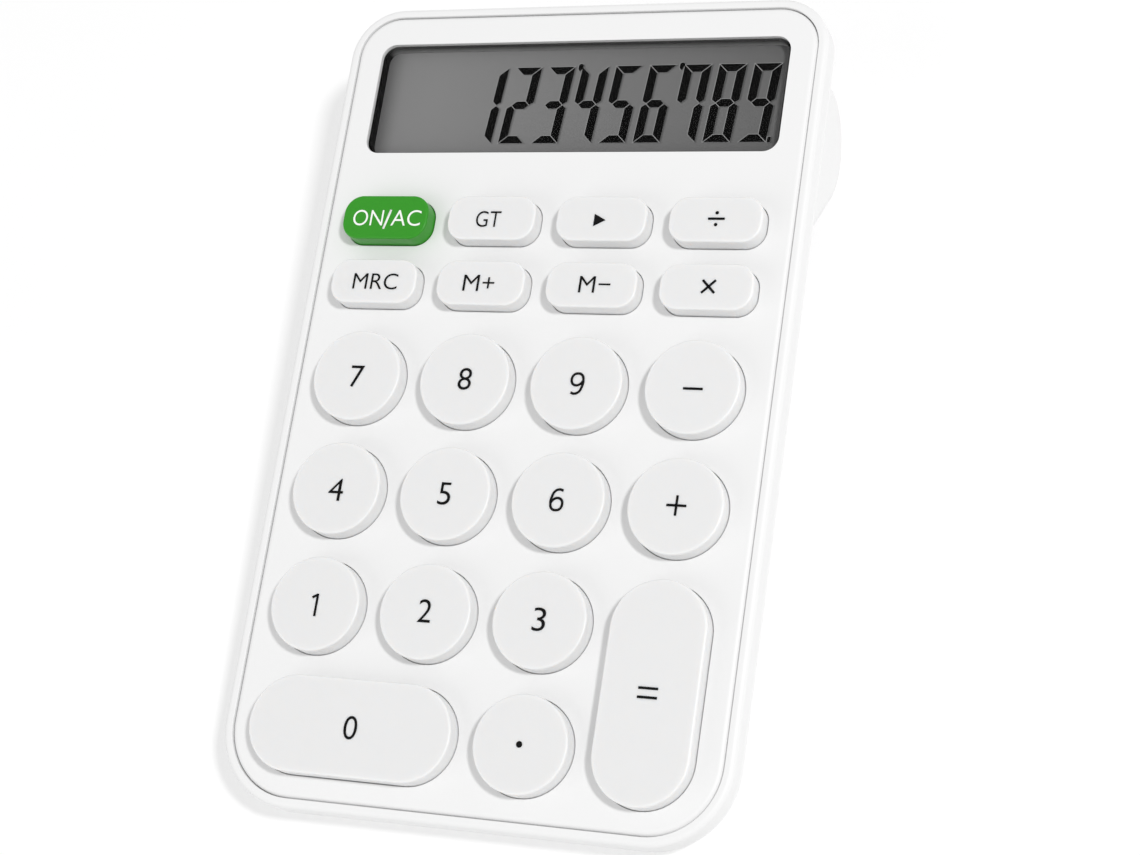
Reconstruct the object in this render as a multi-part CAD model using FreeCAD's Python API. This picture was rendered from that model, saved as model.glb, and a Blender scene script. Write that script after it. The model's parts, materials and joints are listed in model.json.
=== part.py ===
"""Desk calculator: twelve-digit display, twenty-two sprung keys, one AA cell in a lobe under the display.

The case is modelled with its face in the XY plane: X to the right, Y towards the display, Z out of the face.
Every piece is then leaned back by the angle that the feet give the case, and set down on the desk at Z = 0.
All sizes are in millimetres.
"""
import FreeCAD, Part
import math
import os
from FreeCAD import Vector

# ---- case ----
case_width = 97.5
case_length = 158.4
display_end_corner = 10.1      # outer corner radius beside the display
keys_end_corner = 15.1         # outer corner radius beside the bottom row of keys
rim_width = 1.8                # from the outside of the case to the pocket that takes the face panel
rim_round = 1.0                # rounding of the rim's outer edge
rim_inner_break = 0.1          # small chamfer where the rim meets the seam
wall_height = 4.8              # face to the joint line between the front frame and the rear cover
joint_groove = 0.25            # chamfer on both sides of the joint line
frame_ledge_reach = 2.3        # how far the ledge under the face panel stands in from the pocket
frame_ledge_thickness = 1.4
back_depth = 9.2               # face to the flat back
underside_taper = 4.0          # 45 degree taper between the side wall and the flat back
underside_round = 1.5
shell_wall = 1.8
floor_thickness = 1.6
tongue_gap = 0.1               # rear cover's tongue inside the front frame
tongue_thickness = 1.1
tongue_height = 1.2
tongue_root = 1.2

# ---- face panel ----
seam_gap = 0.12
panel_thickness = 1.8
panel_edge_round = 1.0
hole_edge_break = 0.1

# ---- display ----
window_width = 83.6
window_height = 23.2
window_corner = 2.9
window_centre_y = 59.8
window_gap = 0.05
window_thickness = 0.8
window_sink = 0.05             # the lens lies this far below the face
collar_wall = 0.4              # black collar that lines the opening
lcd_depth = 2.8                # face to the front of the liquid crystal display
bezel_side = 1.0
bezel_frame_gap = 0.3          # between the bezel and the frame's ledge
bezel_low_y = 44.0
bezel_depth = 4.2              # face to the back of the bezel's skirt
lcd_side_gap = 0.15
polariser_thickness = 0.2
polariser_margin = 0.2         # polariser and reflector stand in from the edge of the glass
glass_thickness = 0.55
lcd_contact_ledge = 2.2        # front glass stands past the rear glass, over the contact strip
contact_strip_length = 68.0
contact_strip_width = 1.5

# ---- keys ----
key_pitch_x = 22.0
key_pitch_y = 21.94
number_row_y = 1.54            # centre of the 7 8 9 row
function_row_y = 20.4          # centre of the memory row
function_pitch_y = 13.0
hole_size = 17.9               # opening of a round key, and the width of every narrow one
function_hole_height = 9.05
function_hole_corner = 3.7
key_gap = 0.13                 # all round a key in its hole
key_height = 3.4               # key top above the face
key_top_round = 0.35
key_top_thickness = 1.3
key_wall = 1.1
key_travel = 1.2
flange_reach = 0.8             # flange under the panel, beyond the hole
flange_thickness = 0.9
flange_gap = 0.05
stem_radius = 1.5
long_key_stem_offset = 8.0     # two stems on a long key, each side of its centre

# ---- rubber mat and circuit board ----
dome_base_radius = 2.85
dome_top_radius = 1.9
dome_height = 2.95
dome_wall = 0.6
dome_key_gap = 0.2             # left between dome and stem when the key is fully down
mat_key_gap = 0.2              # left between mat and flange when the key is fully down
mat_thickness = 0.8
mat_inset = 4.6                # from the outside of the case
mat_high_y = 43.4
board_thickness = 1.2
board_inset = 4.4
board_high_y = 47.4
blob_radius = 5.5
blob_height = 1.0
blob_y = 23.0
capacitor_radius = 2.0
capacitor_length = 7.0
capacitor_x = -15.0
capacitor_y = 40.4
resistor_size = (2.0, 1.25, 0.6)
resistor_spread = 4.0

# ---- screws ----
end_screw_x = 40.0             # the two screws beside the battery
case_boss_radius = 2.4
case_screw_radius = 1.0
case_screw_head_radius = 2.0
case_screw_head_height = 1.2
case_screw_bite = 2.4          # length of the shank inside the face panel's boss
head_seat_depth = 1.3          # counterbore under the flat back
head_gap = 0.3
board_boss_radius = 2.0
board_screw_radius = 0.75
board_screw_head_radius = 1.7
board_screw_head_height = 0.8
board_screw_bite = 1.8
screw_gap = 0.05
boss_gap = 0.4                 # round a boss where it passes the mat
rear_boss_radius = 3.2

# ---- battery lobe ----
lobe_rear_y = 66.5
lobe_crest_radius = 12.0
lobe_ramp_angle = 43.6
lobe_end_inset = 0.95          # lobe's ends stand in from the side walls
lobe_end_round = 2.6
cell_radius = 7.15
cell_length = 48.8
cell_edge_round = 0.6
cell_nub_radius = 2.7
cell_nub_length = 1.4
cell_gap = 0.35
cell_headroom = 1.7            # from the back of the display to the cell
cell_lean = 37.0               # the cell lies this far round the crest, behind its lowest line
bay_wall = 1.5
spring_length = 6.0
spring_wire_radius = 0.4
spring_turns = 4
spring_large_radius = 4.6
spring_small_radius = 2.4
contact_thickness = 0.4
contact_corner_gap = 0.3        # between a contact's corners and the lobe's inside
wire_radius = 0.6
wire_bend = 1.6
wire_drop = 2.8                # wire's run below the circuit board
wire_landing_y = 43.6

# ---- battery door ----
door_wall = 1.6
door_gap = 0.2
door_front_reach = 7.0         # front edge, measured up the ramp from where the crest begins
door_rear_angle = 58.0         # rear edge, measured round the crest from where it begins
door_tab_width = 6.0
door_tab_reach = 1.8
door_tab_thickness = 1.1
door_tab_gap = 0.15
door_tab_spread = 20.0
door_tab_root = 2.0            # length of a tab's heel inside the door's own edge
door_ridge_width = 14.0
door_ridge_count = 3
door_ridge_start = 2.6         # first grip ridge, from the door's front edge
door_ridge_step = 1.8
door_ridge_radius = 0.45

# ---- feet ----
front_foot_x = 33.0
front_foot_y = -64.0
front_foot_radius = 5.0
front_foot_height = 1.8
foot_recess = 0.5
foot_gap = 0.1
foot_round = 0.4
rear_foot_x = 37.5
rear_foot_length = 13.0
rear_foot_width = 5.0
rear_foot_height = 0.8
rear_foot_seat = 0.8           # depth of its pocket below the crest line

# ---- worked out from the sizes above ----
pocket_inset = rim_width
panel_inset = rim_width + seam_gap
columns = [(index - 1.5) * key_pitch_x for index in range(4)]
rows = [number_row_y - index * key_pitch_y for index in range(4)]
flange_top = -panel_thickness - flange_gap
flange_low = flange_top - flange_thickness
mat_top = flange_low - key_travel - mat_key_gap
mat_low = mat_top - mat_thickness
board_low = mat_low - board_thickness
bezel_inset = pocket_inset + frame_ledge_reach + bezel_frame_gap
bezel_half_width = case_width / 2 - bezel_inset
bezel_high_y = case_length / 2 - bezel_inset
bezel_pocket_corner = display_end_corner - bezel_inset - bezel_side
lcd_corner_clearance = bezel_pocket_corner * (1 - math.sqrt(0.5))
dome_top = mat_top + dome_height
stem_low = dome_top + key_travel + dome_key_gap
head_seat = -back_depth + head_seat_depth
between_keys_x = key_pitch_x
between_rows = [number_row_y + (0.5 - index) * key_pitch_y for index in range(4)]
above_keys_y = (function_row_y + function_pitch_y + function_hole_height / 2 + flange_reach
                + bezel_low_y) / 2
case_screw_places = [(0, between_rows[3]),
                     (-between_keys_x, between_rows[1]), (between_keys_x, between_rows[1]),
                     (-end_screw_x, above_keys_y), (end_screw_x, above_keys_y)]
board_screw_places = [(-between_keys_x, between_rows[0]), (between_keys_x, between_rows[0]),
                      (-between_keys_x, between_rows[2]), (between_keys_x, between_rows[2]),
                      (0, above_keys_y)]

cell_reach = cell_radius + cell_gap
cell_offset = lobe_crest_radius - shell_wall - cell_reach
display_back = lcd_depth + 2 * (polariser_thickness + glass_thickness)
lobe_depth = (display_back + cell_headroom + cell_radius + lobe_crest_radius
              - cell_offset * math.cos(math.radians(cell_lean)))      # face to the lowest line of the lobe

ramp = math.radians(lobe_ramp_angle)
ramp_down = Vector(0, math.cos(ramp), -math.sin(ramp))
ramp_in = Vector(0, math.sin(ramp), math.cos(ramp))
crest_centre = Vector(0, lobe_rear_y - lobe_crest_radius, -lobe_depth + lobe_crest_radius)
crest_start = crest_centre - ramp_in * lobe_crest_radius
hinge_line = crest_start - ramp_down * door_front_reach

cell_y = crest_centre.y + cell_offset * math.sin(math.radians(cell_lean))
cell_z = crest_centre.z - cell_offset * math.cos(math.radians(cell_lean))
bay_length = spring_length + cell_length + cell_nub_length + contact_thickness
bay_low_x = -bay_length / 2
bay_high_x = bay_length / 2
contact_half = (cell_reach - contact_corner_gap) / math.sqrt(2)

desk_drop = (lobe_depth + rear_foot_height) - (back_depth + front_foot_height)
tilt = math.atan2(desk_drop, crest_centre.y - front_foot_y)


# ---- helpers ----
def rounded_wire(points, radii):
    """Closed wire through the points, each corner rounded to its radius by a tangent arc."""
    corners = []
    for index, (corner, radius) in enumerate(zip(points, radii)):
        back = (points[index - 1] - corner).normalize()
        ahead = (points[(index + 1) % len(points)] - corner).normalize()
        half_angle = back.getAngle(ahead) / 2
        reach = radius / math.tan(half_angle)
        inward = (back + ahead).normalize() * (radius / math.sin(half_angle) - radius)
        corners.append((corner + back * reach, corner + inward, corner + ahead * reach))
    edges = []
    for index, (start, middle, end) in enumerate(corners):
        if radii[index] > 0:
            edges.append(Part.Arc(start, middle, end).toShape())
        following = corners[(index + 1) % len(corners)][0]
        if end.distanceToPoint(following) > 1e-6:
            edges.append(Part.makeLine(end, following))
    return Part.Wire(edges)


def plate(x_low, x_high, y_low, y_high, z_low, z_high, low_corner=0, high_corner=0):
    """Flat plate with one corner radius at its low-Y end and one at its high-Y end."""
    points = [Vector(x_low, y_low, z_low), Vector(x_high, y_low, z_low),
              Vector(x_high, y_high, z_low), Vector(x_low, y_high, z_low)]
    wire = rounded_wire(points, [low_corner, low_corner, high_corner, high_corner])
    return Part.Face(wire).extrude(Vector(0, 0, z_high - z_low))


def case_slab(inset, z_low, z_high):
    """Plate with the case's outline moved in by inset."""
    half_width = case_width / 2 - inset
    half_length = case_length / 2 - inset
    return plate(-half_width, half_width, -half_length, half_length, z_low, z_high,
                 keys_end_corner - inset, display_end_corner - inset)


def window_slab(grow, z_low, z_high):
    """Plate with the display window's outline, grown on every side."""
    half_width = window_width / 2 + grow
    half_height = window_height / 2 + grow
    return plate(-half_width, half_width, window_centre_y - half_height, window_centre_y + half_height,
                 z_low, z_high, window_corner + grow, window_corner + grow)


def post(x, y, radius, z_low, z_high):
    return Part.makeCylinder(radius, z_high - z_low, Vector(x, y, z_low))


def block(x_low, x_high, y_low, y_high, z_low, z_high):
    return Part.makeBox(x_high - x_low, y_high - y_low, z_high - z_low, Vector(x_low, y_low, z_low))


def level_edges(shape, z):
    """The edges that lie flat at height z."""
    return [edge for edge in shape.Edges
            if abs(edge.BoundBox.ZMin - z) < 1e-4 and abs(edge.BoundBox.ZMax - z) < 1e-4]


def outer_level_edges(shape, z, inset):
    """The edges at height z that belong to the case's outline moved in by inset."""
    half_width = case_width / 2 - inset
    half_length = case_length / 2 - inset
    found = []
    for edge in level_edges(shape, z):
        box = edge.BoundBox
        reach_x = max(abs(box.XMin), abs(box.XMax))
        reach_y = max(abs(box.YMin), abs(box.YMax))
        if abs(reach_x - half_width) < 0.02 or abs(reach_y - half_length) < 0.02:
            found.append(edge)
    return found


# ---- keys ----
def list_keys():
    """Name of each key: centre x, centre y, width, height and corner radius of its hole."""
    keys = {}
    memory_row = ("key_mrc", "key_m_plus", "key_m_minus", "key_multiply")
    top_row = ("key_on_ac", "key_gt", "key_backspace", "key_divide")
    for step, names in enumerate((memory_row, top_row)):
        y = function_row_y + step * function_pitch_y
        for x, name in zip(columns, names):
            keys[name] = (x, y, hole_size, function_hole_height, function_hole_corner)
    number_rows = (("key_7", "key_8", "key_9", "key_minus"), ("key_4", "key_5", "key_6", "key_plus"),
                   ("key_1", "key_2", "key_3"))
    for y, names in zip(rows, number_rows):
        for x, name in zip(columns, names):
            keys[name] = (x, y, hole_size, hole_size, hole_size / 2)
    keys["key_point"] = (columns[2], rows[3], hole_size, hole_size, hole_size / 2)
    wide = hole_size + key_pitch_x
    tall = hole_size + key_pitch_y
    keys["key_0"] = ((columns[0] + columns[1]) / 2, rows[3], wide, hole_size, hole_size / 2)
    keys["key_equals"] = (columns[3], (rows[2] + rows[3]) / 2, hole_size, tall, hole_size / 2)
    return keys


keys = list_keys()


def key_slab(name, grow, z_low, z_high):
    """Plate with the outline of a key's hole, grown on every side."""
    x, y, width, height, corner = keys[name]
    half_width = width / 2 + grow
    half_height = height / 2 + grow
    return plate(x - half_width, x + half_width, y - half_height, y + half_height, z_low, z_high,
                 corner + grow, corner + grow)


def press_points(name):
    """Where a key presses the mat: one point, or two on a long key."""
    x, y, width, height, corner = keys[name]
    if width > hole_size:
        return [(x - long_key_stem_offset, y), (x + long_key_stem_offset, y)]
    if height > hole_size:
        return [(x, y - long_key_stem_offset), (x, y + long_key_stem_offset)]
    return [(x, y)]


def keycap(name):
    cap = key_slab(name, -key_gap, flange_low, key_height)
    cap = cap.makeFillet(key_top_round, level_edges(cap, key_height))
    flange = key_slab(name, flange_reach, flange_low, flange_top)
    hollow = key_slab(name, -key_gap - key_wall, flange_low, key_height - key_top_thickness)
    cap = cap.fuse(flange).cut(hollow)
    for x, y in press_points(name):
        cap = cap.fuse(post(x, y, stem_radius, stem_low, key_height - key_top_thickness))
    return cap.removeSplitter()


# ---- front of the case ----
def front_frame():
    """Rim and side wall, with a ledge inside that the face panel drops on."""
    frame = case_slab(0, -wall_height, 0)
    frame = frame.makeFillet(rim_round, level_edges(frame, 0))
    frame = frame.makeChamfer(joint_groove, level_edges(frame, -wall_height))
    ledge_low = -panel_thickness - frame_ledge_thickness
    frame = frame.cut(case_slab(pocket_inset, -panel_thickness, 1))
    frame = frame.cut(case_slab(pocket_inset + frame_ledge_reach, ledge_low - 1, 0))
    frame = frame.cut(case_slab(pocket_inset, -wall_height - 1, ledge_low))
    return frame.makeChamfer(rim_inner_break, outer_level_edges(frame, 0, pocket_inset))


def face_panel():
    """Panel with the window, the key holes and the bosses that every screw bites into."""
    panel = case_slab(panel_inset, -panel_thickness, 0)
    panel = panel.makeFillet(panel_edge_round, level_edges(panel, 0))
    for name in keys:
        panel = panel.cut(key_slab(name, 0, -panel_thickness - 1, 1))
    hole_edges = [edge for edge in level_edges(panel, 0) if is_hole_edge(edge)]
    panel = panel.makeChamfer(hole_edge_break, hole_edges)
    panel = panel.cut(window_slab(0, -panel_thickness - 1, 1))
    for places, radius, screw, bite in panel_bosses():
        for x, y in places:
            panel = panel.fuse(post(x, y, radius, mat_low, -panel_thickness))
        for x, y in places:
            panel = panel.cut(post(x, y, screw + screw_gap, mat_low - 1, mat_low + bite + screw_gap))
    return panel.removeSplitter()


def is_hole_edge(edge):
    """True where an edge on the face lies round a key's hole, not round the panel."""
    box = edge.BoundBox
    clear_of_side = max(abs(box.XMin), abs(box.XMax)) < case_width / 2 - panel_inset - panel_edge_round - 0.5
    clear_of_end = max(abs(box.YMin), abs(box.YMax)) < case_length / 2 - panel_inset - panel_edge_round - 0.5
    return clear_of_side and clear_of_end


def panel_bosses():
    """Boss places, boss radius, screw radius and bite for both kinds of screw."""
    return ((case_screw_places, case_boss_radius, case_screw_radius, case_screw_bite),
            (board_screw_places, board_boss_radius, board_screw_radius, board_screw_bite))


# ---- display ----
def display_window():
    low = -window_sink - window_thickness
    lens = window_slab(-window_gap, low, -window_sink)
    return lens.makeChamfer(0.1, level_edges(lens, -window_sink))


def lcd_bezel():
    """Black frame behind the panel: its collar lines the opening and its skirt holds the glass."""
    collar_top = -window_sink - window_thickness
    beyond = case_length
    keys_side = block(-beyond, beyond, -beyond, bezel_low_y, -bezel_depth - 2, 0)
    bezel = case_slab(bezel_inset, -bezel_depth, -panel_thickness).cut(keys_side)
    pocket = case_slab(bezel_inset + bezel_side, -bezel_depth - 1, -lcd_depth)
    bezel = bezel.cut(pocket).fuse(window_slab(-window_gap, -panel_thickness - 0.5, collar_top))
    return bezel.cut(window_slab(-window_gap - collar_wall, -bezel_depth - 1, 1)).removeSplitter()


def glass_bounds():
    """Low x, high x, low y and high y of the display's front glass."""
    margin = bezel_side + lcd_side_gap + lcd_corner_clearance
    half_width = bezel_half_width - margin
    return -half_width, half_width, bezel_low_y + 0.6, bezel_high_y - margin


def lcd_layers():
    """Front polariser, front glass, rear glass and reflector, stacked behind the window."""
    x_low, x_high, y_low, y_high = glass_bounds()
    rear_low_y = y_low + lcd_contact_ledge
    margin = polariser_margin
    stack = (("lcd_front_polariser", polariser_thickness, margin, rear_low_y + margin),
             ("lcd_front_glass", glass_thickness, 0, y_low),
             ("lcd_rear_glass", glass_thickness, 0, rear_low_y),
             ("lcd_reflector", polariser_thickness, margin, rear_low_y + margin))
    layers = {}
    top = -lcd_depth
    for name, thickness, inset, low_y in stack:
        layers[name] = block(x_low + inset, x_high - inset, low_y, y_high - inset, top - thickness, top)
        top -= thickness
    return layers


def contact_strip():
    """Rubber strip that joins the front glass to the circuit board."""
    y_low = glass_bounds()[2] + (lcd_contact_ledge - contact_strip_width) / 2
    top = -lcd_depth - polariser_thickness - glass_thickness
    half_length = contact_strip_length / 2
    return block(-half_length, half_length, y_low, y_low + contact_strip_width, mat_low, top)


# ---- mat and circuit board ----
def sheet_below(inset, high_y, z_low, z_high):
    """Sheet with the case's outline moved in, cut off square below the display."""
    beyond = case_length
    return case_slab(inset, z_low, z_high).cut(block(-beyond, beyond, high_y, beyond, z_low - 1, z_high + 1))


def key_mat():
    """Silicone mat with a hollow dome under each place a key presses."""
    mat = sheet_below(mat_inset, mat_high_y, mat_low, mat_top)
    points = [point for name in keys for point in press_points(name)]
    for x, y in points:
        mat = mat.fuse(Part.makeCone(dome_base_radius, dome_top_radius, dome_height, Vector(x, y, mat_top)))
    inner_height = mat_thickness + dome_height - dome_wall
    for x, y in points:
        mat = mat.cut(Part.makeCone(dome_base_radius - dome_wall, dome_top_radius - dome_wall, inner_height,
                                    Vector(x, y, mat_low)))
    for places, radius, screw, bite in panel_bosses():
        for x, y in places:
            mat = mat.cut(post(x, y, radius + boss_gap, mat_low - 1, mat_top + 1))
    return mat.removeSplitter()


def circuit_board():
    board = sheet_below(board_inset, board_high_y, board_low, mat_low)
    for places, radius, screw, bite in panel_bosses():
        for x, y in places:
            board = board.cut(post(x, y, screw + 3 * screw_gap, board_low - 1, mat_low + 1))
    return board


def chip_blob():
    """Epoxy cap over the chip, on the back of the board."""
    ball_radius = (blob_radius ** 2 + blob_height ** 2) / (2 * blob_height)
    ball = Part.makeSphere(ball_radius, Vector(0, blob_y, board_low - blob_height + ball_radius))
    return ball.common(block(-blob_radius, blob_radius, blob_y - blob_radius, blob_y + blob_radius,
                             board_low - blob_height, board_low))


def capacitor():
    start = Vector(capacitor_x - capacitor_length / 2, capacitor_y, board_low - capacitor_radius)
    can = Part.makeCylinder(capacitor_radius, capacitor_length, start, Vector(1, 0, 0))
    return can.makeFillet(0.3, [edge for edge in can.Edges if edge.BoundBox.XLength < 1e-3])


def chip_resistors():
    length, width, height = resistor_size
    chips = []
    for side in (-1, 1):
        for step in (-1, 1):
            x = side * (blob_radius + resistor_spread)
            y = blob_y + step * resistor_spread / 2
            chips.append(block(x - length / 2, x + length / 2, y - width / 2, y + width / 2,
                               board_low - height, board_low))
    return Part.makeCompound(chips)


# ---- screws ----
def case_screw(x, y):
    shank_top = mat_low + case_screw_bite
    head = post(x, y, case_screw_head_radius, head_seat - case_screw_head_height, head_seat)
    head = head.makeFillet(0.4, level_edges(head, head_seat - case_screw_head_height))
    slot_low = head_seat - case_screw_head_height
    cross = block(x - 1.1, x + 1.1, y - 0.22, y + 0.22, slot_low - 1, slot_low + 0.6)
    cross = cross.fuse(block(x - 0.22, x + 0.22, y - 1.1, y + 1.1, slot_low - 1, slot_low + 0.6))
    return head.fuse(post(x, y, case_screw_radius, head_seat, shank_top)).cut(cross)


def board_screw(x, y):
    head = post(x, y, board_screw_head_radius, board_low - board_screw_head_height, board_low)
    return head.fuse(post(x, y, board_screw_radius, board_low, mat_low + board_screw_bite))


# ---- battery lobe ----
def lobe_solid(inset):
    """The lobe as a solid, with every face moved in by inset."""
    top = -wall_height
    radius = lobe_crest_radius - inset
    start = crest_start + ramp_in * inset
    rear_y = lobe_rear_y - inset
    ramp_top = start - ramp_down * ((top - start.z) / ramp_in.y)
    foot = start + ramp_down * ((rear_y - start.y) / ramp_down.y)
    half_length = case_width / 2 - lobe_end_inset - inset
    shift = Vector(-half_length, 0, 0)
    points = [ramp_top + shift, foot + shift, Vector(-half_length, rear_y, top)]
    wire = rounded_wire(points, [0, radius, 0])
    solid = Part.Face(wire).extrude(Vector(2 * half_length, 0, 0))
    end_round = lobe_end_round - inset
    if end_round > 0.1:
        solid = solid.makeFillet(end_round, [edge for edge in solid.Edges if is_lobe_end_edge(edge, top)])
    return solid


def is_lobe_end_edge(edge, top):
    """True for an edge round an end of the lobe, apart from the one along its open top."""
    box = edge.BoundBox
    return box.XLength < 1e-3 and box.ZMin < top - 1e-3


def back_solid(inset, floor, taper, low_round):
    """The shallow back of the case, tapered in all round its underside."""
    solid = case_slab(inset, -back_depth + floor, -wall_height + floor)
    solid = solid.makeChamfer(taper, level_edges(solid, -back_depth + floor))
    return solid.makeFillet(low_round, level_edges(solid, -back_depth + floor)) if low_round else solid


def door_region(side_grow, edge_grow):
    """Wedge that the battery door fills, between its two ends and its front and rear edges."""
    front = hinge_line - ramp_down * edge_grow
    angle = math.radians(door_rear_angle) + edge_grow / lobe_crest_radius
    outward = ramp_down * math.sin(angle) - ramp_in * math.cos(angle)
    half_length = bay_length / 2 - door_gap + side_grow
    shift = Vector(-half_length, 0, 0)
    clear = lobe_crest_radius / 2
    rear = crest_centre + outward * lobe_crest_radius
    points = [front - ramp_in * clear, front + ramp_in * clear,
              rear - outward * clear, rear + outward * clear]
    wire = Part.makePolygon([point + shift for point in points + points[:1]])
    return Part.Face(wire).extrude(Vector(2 * half_length, 0, 0))


def rear_cover():
    """Back shell with its lobe, battery bay, screw wells and foot recesses."""
    inner_taper = underside_taper + shell_wall * (math.sqrt(2) - 1) - floor_thickness
    outside = back_solid(0, 0, underside_taper, underside_round)
    outside = outside.makeChamfer(joint_groove / 2, level_edges(outside, -wall_height))
    outside = outside.fuse(lobe_solid(0)).removeSplitter()
    inside = back_solid(shell_wall, floor_thickness, inner_taper, 0).fuse(lobe_solid(shell_wall))
    cover = outside.cut(inside)
    tongue_inset = pocket_inset + tongue_gap
    tongue = case_slab(tongue_inset, -wall_height - tongue_root, -wall_height + tongue_height)
    tongue = tongue.cut(case_slab(tongue_inset + tongue_thickness, -back_depth, 0))
    cover = cover.fuse(tongue)
    cover = cover.cut(door_region(door_gap, door_gap))
    cover = cover.fuse(bay_walls())
    for x, y in case_screw_places:
        pillar = post(x, y, rear_boss_radius, -lobe_depth, board_low)
        cover = cover.fuse(pillar.common(outside))
    for x, y in case_screw_places:
        cover = cover.cut(post(x, y, case_screw_head_radius + head_gap, -lobe_depth - 1, head_seat))
        cover = cover.cut(post(x, y, case_screw_radius + 3 * screw_gap, -lobe_depth, board_low + 1))
    for side in (-1, 1):
        cover = cover.cut(post(side * front_foot_x, front_foot_y, front_foot_radius + foot_gap,
                               -back_depth - 1, -back_depth + foot_recess))
        cover = cover.cut(rear_foot_block(side, foot_gap, -lobe_depth - 1))
    return cover.removeSplitter()


def bay_walls():
    """The two walls across the lobe that the battery contacts stand on."""
    wall_y = (cell_y - cell_reach, lobe_rear_y)
    walls = [block(bay_low_x - bay_wall, bay_low_x, wall_y[0], wall_y[1], -lobe_depth, board_low),
             block(bay_high_x, bay_high_x + bay_wall, wall_y[0], wall_y[1], -lobe_depth, board_low)]
    room = lobe_solid(shell_wall / 2)
    return Part.makeCompound([wall.common(room) for wall in walls])


def battery_cell():
    """AA cell, its positive nub towards +X."""
    start = bay_low_x + spring_length
    can = Part.makeCylinder(cell_radius, cell_length, Vector(start, cell_y, cell_z), Vector(1, 0, 0))
    can = can.makeFillet(cell_edge_round, [edge for edge in can.Edges if edge.BoundBox.XLength < 1e-3])
    nub_start = Vector(start + cell_length, cell_y, cell_z)
    return can.fuse(Part.makeCylinder(cell_nub_radius, cell_nub_length, nub_start, Vector(1, 0, 0)))


def contact_sheet(x_low):
    """Sheet-metal contact on a bay wall, with a solder tab that reaches forward."""
    sheet = block(x_low, x_low + contact_thickness, cell_y - contact_half, cell_y + contact_half,
                  cell_z - contact_half, cell_z + contact_half)
    wire_z = board_low - wire_drop
    tab = block(x_low, x_low + contact_thickness, wire_start_y(), cell_y, wire_z - 1, wire_z + 1)
    return sheet.fuse(tab).removeSplitter()


def wire_start_y():
    """Front end of both solder tabs."""
    return cell_y - cell_reach - 1.0


def battery_plate():
    return contact_sheet(bay_high_x - contact_thickness)


def battery_spring():
    """Tapered spring on the negative contact."""
    sheet = contact_sheet(bay_low_x)
    height = spring_length - contact_thickness - 2 * spring_wire_radius
    pitch = height / spring_turns
    slope = math.degrees(math.atan2(spring_large_radius - spring_small_radius, height))
    helix = Part.makeHelix(pitch, height, spring_large_radius, -slope)
    start = helix.Edges[0].valueAt(helix.Edges[0].FirstParameter)
    direction = helix.Edges[0].tangentAt(helix.Edges[0].FirstParameter)
    section = Part.Wire(Part.Circle(start, direction, spring_wire_radius).toShape())
    coil = Part.Wire(helix.Edges).makePipeShell([section], True, True)
    coil.rotate(Vector(0, 0, 0), Vector(0, 1, 0), 90)
    coil.translate(Vector(bay_low_x + contact_thickness + spring_wire_radius * 0.8, cell_y, cell_z))
    return sheet.fuse(coil)


def battery_wire(x):
    """Lead from a contact's tab, forward and then up to the board."""
    low_z = board_low - wire_drop
    start = Vector(x, wire_start_y(), low_z)
    corner = Vector(x, wire_landing_y, low_z)
    end = Vector(x, wire_landing_y, board_low)
    before = corner + Vector(0, wire_bend, 0)
    after = corner + Vector(0, 0, wire_bend)
    lean = wire_bend * (1 - math.sqrt(0.5))
    middle = corner + Vector(0, lean, lean)
    path = Part.Wire([Part.makeLine(start, before), Part.Arc(before, middle, after).toShape(),
                      Part.makeLine(after, end)])
    section = Part.Wire(Part.Circle(start, Vector(0, -1, 0), wire_radius).toShape())
    return path.makePipeShell([section], True, False)


def battery_door():
    """Door flush with the ramp and the crest, with two tabs under the front edge of its opening."""
    skin = lobe_solid(0).cut(lobe_solid(door_wall))
    door = skin.common(door_region(0, 0))
    for side in (-1, 1):
        door = door.fuse(door_tab(side * door_tab_spread))
    for step in range(door_ridge_count):
        door = door.fuse(door_ridge(hinge_line + ramp_down * (door_ridge_start + step * door_ridge_step)))
    return door.removeSplitter()


def door_tab(x):
    """Hook at the front edge, behind the rear cover's wall."""
    tab = Part.makeBox(door_tab_width, door_tab_reach + door_tab_root, door_tab_thickness)
    heel = Part.makeBox(door_tab_width, door_tab_root, door_tab_thickness + shell_wall + door_tab_gap)
    heel.translate(Vector(0, door_tab_reach, -shell_wall - door_tab_gap))
    hook = tab.fuse(heel)
    hook.rotate(Vector(0, 0, 0), Vector(1, 0, 0), -lobe_ramp_angle)
    inside = ramp_in * (shell_wall + door_tab_gap)
    hook.translate(hinge_line - ramp_down * door_tab_reach + inside + Vector(x - door_tab_width / 2, 0, 0))
    return hook.cut(outside_of_door())


def outside_of_door():
    """What a door's tab mustn't reach: the space outside the middle of the door's wall."""
    slab = Part.makeBox(case_width, lobe_depth, lobe_depth)
    slab.rotate(Vector(0, 0, 0), Vector(1, 0, 0), -lobe_ramp_angle)
    slab.translate(hinge_line - ramp_down * (lobe_depth / 2) - ramp_in * (lobe_depth - door_wall / 2))
    slab.translate(Vector(-case_width / 2, 0, 0))
    return slab


def door_ridge(place):
    """Half-round grip ridge across the door."""
    start = place + Vector(-door_ridge_width / 2, 0, 0)
    return Part.makeCylinder(door_ridge_radius, door_ridge_width, start, Vector(1, 0, 0))


# ---- feet ----
def rear_foot_block(side, grow, z_low):
    half_length = rear_foot_length / 2 + grow
    half_width = rear_foot_width / 2 + grow
    x = side * rear_foot_x
    return block(x - half_length, x + half_length, crest_centre.y - half_width, crest_centre.y + half_width,
                 z_low, -lobe_depth + rear_foot_seat)


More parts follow.
